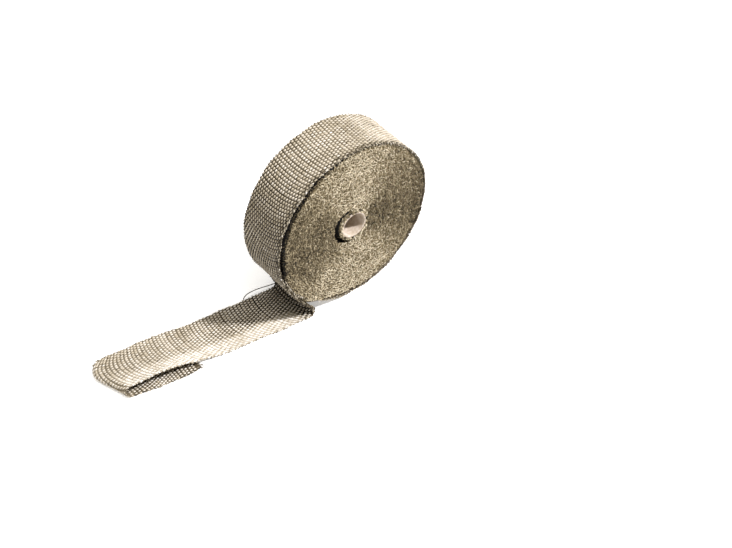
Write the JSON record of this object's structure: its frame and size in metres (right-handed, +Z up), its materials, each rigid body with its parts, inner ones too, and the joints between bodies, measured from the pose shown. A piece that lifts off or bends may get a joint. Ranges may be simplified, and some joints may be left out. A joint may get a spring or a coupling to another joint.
{
  "type": "exhaust heat wrap",
  "caption": "Roll of woven heat-resistant strip wound on a short core tube, standing on its rim with its loose end folded out along the floor.",
  "frame": {"origin": "on the floor, under the middle of the part's box", "axes": "+X from the loose end's fold towards the roll, +Y along the core tube away from the end that stands further out, +Z up"},
  "size_m": [0.3204, 0.072, 0.164],
  "materials": {
    "wrap": "coarse woven mineral yarn, dry and slightly shiny, khaki brown",
    "core": "plain spiral-wound board"
  },
  "bodies": {
    "root": {"heat_wrap": "wrap", "core_tube": "core"}
  },
  "joints": []
}
